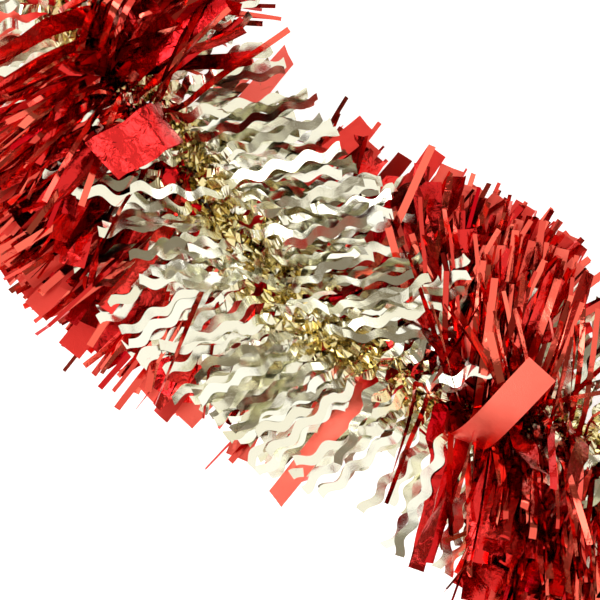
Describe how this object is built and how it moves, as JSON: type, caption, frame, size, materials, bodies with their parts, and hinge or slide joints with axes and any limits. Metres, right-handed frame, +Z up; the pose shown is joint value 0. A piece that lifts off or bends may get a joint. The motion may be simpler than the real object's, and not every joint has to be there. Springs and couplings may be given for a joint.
{
  "type": "tinsel garland",
  "caption": "Thick metallic tinsel garland of wavy champagne and straight red foil strips twisted on a wire core, laid in an open ring.",
  "frame": {"origin": "under the middle of the laid-out ring, on the table it lies on", "axes": "+Z up from the table; +X and +Y lie in the table's plane, and the ring opens towards +X +Y"},
  "size_m": [0.8584, 0.8522, 0.13],
  "materials": {
    "core_wire": "fine twisted wire, satin",
    "champagne_film": "metallised champagne film, wavy cut, mirror bright",
    "satin_red_film": "metallised red film with a fine satin grain, cut wide",
    "mirror_red_film": "metallised red film, cut narrow, mirror bright",
    "ferrule": "crimped brass, satin",
    "loop_cord": "braided metallic cord"
  },
  "bodies": {
    "length_1": {"core_wire_a_1": "core_wire", "core_wire_b_1": "core_wire", "wavy_champagne_film_1": "champagne_film", "wide_red_film_1": "satin_red_film", "narrow_red_film_1": "mirror_red_film", "start_ferrule": "ferrule"},
    "length_2": {"core_wire_a_2": "core_wire", "core_wire_b_2": "core_wire", "wavy_champagne_film_2": "champagne_film", "wide_red_film_2": "satin_red_film", "narrow_red_film_2": "mirror_red_film"},
    "length_3": {"core_wire_a_3": "core_wire", "core_wire_b_3": "core_wire", "wavy_champagne_film_3": "champagne_film", "wide_red_film_3": "satin_red_film", "narrow_red_film_3": "mirror_red_film"},
    "length_4": {"core_wire_a_4": "core_wire", "core_wire_b_4": "core_wire", "wavy_champagne_film_4": "champagne_film", "wide_red_film_4": "satin_red_film", "narrow_red_film_4": "mirror_red_film"},
    "length_5": {"core_wire_a_5": "core_wire", "core_wire_b_5": "core_wire", "wavy_champagne_film_5": "champagne_film", "wide_red_film_5": "satin_red_film", "narrow_red_film_5": "mirror_red_film"},
    "length_6": {"core_wire_a_6": "core_wire", "core_wire_b_6": "core_wire", "wavy_champagne_film_6": "champagne_film", "wide_red_film_6": "satin_red_film", "narrow_red_film_6": "mirror_red_film"},
    "length_7": {"core_wire_a_7": "core_wire", "core_wire_b_7": "core_wire", "wavy_champagne_film_7": "champagne_film", "wide_red_film_7": "satin_red_film", "narrow_red_film_7": "mirror_red_film"},
    "length_8": {"core_wire_a_8": "core_wire", "core_wire_b_8": "core_wire", "wavy_champagne_film_8": "champagne_film", "wide_red_film_8": "satin_red_film", "narrow_red_film_8": "mirror_red_film", "far_ferrule": "ferrule"},
    "start_loop": {"start_hanging_loop": "loop_cord"},
    "far_loop": {"far_hanging_loop": "loop_cord"}
  },
  "joints": [
    {"name": "bend_1", "type": "hinge", "parent": "length_2", "child": "length_1", "pos_m": [-0.18569, 0.3085, 0.06], "axis": [0, 0, -1], "range_deg": [-36, 6]},
    {"name": "bend_2", "type": "hinge", "parent": "length_3", "child": "length_2", "pos_m": [-0.33102, 0.14153, 0.06], "axis": [0, 0, -1], "range_deg": [-36, 6]},
    {"name": "bend_3", "type": "hinge", "parent": "length_4", "child": "length_3", "pos_m": [-0.35118, -0.0789, 0.06], "axis": [0, 0, -1], "range_deg": [-36, 6]},
    {"name": "bend_4", "type": "hinge", "parent": "length_4", "child": "length_5", "pos_m": [-0.23855, -0.26946, 0.06], "axis": [0, 0, 1], "range_deg": [-36, 6]},
    {"name": "bend_5", "type": "hinge", "parent": "length_5", "child": "length_6", "pos_m": [-0.03572, -0.3581, 0.06], "axis": [0, 0, 1], "range_deg": [-36, 6]},
    {"name": "bend_6", "type": "hinge", "parent": "length_6", "child": "length_7", "pos_m": [0.18064, -0.31131, 0.06], "axis": [0, 0, 1], "range_deg": [-36, 6]},
    {"name": "bend_7", "type": "hinge", "parent": "length_7", "child": "length_8", "pos_m": [0.32871, -0.14677, 0.06], "axis": [0, 0, 1], "range_deg": [-36, 6]},
    {"name": "start_loop_swing", "type": "hinge", "parent": "length_1", "child": "start_loop", "pos_m": [0.03633, 0.35834, 0.06], "axis": [-0.0828, -0.9966, 0], "range_deg": [-25, 180]},
    {"name": "far_loop_swing", "type": "hinge", "parent": "length_8", "child": "far_loop", "pos_m": [0.35121, 0.07966, 0.06], "axis": [0.9791, 0.2033, 0], "range_deg": [-25, 180]}
  ]
}
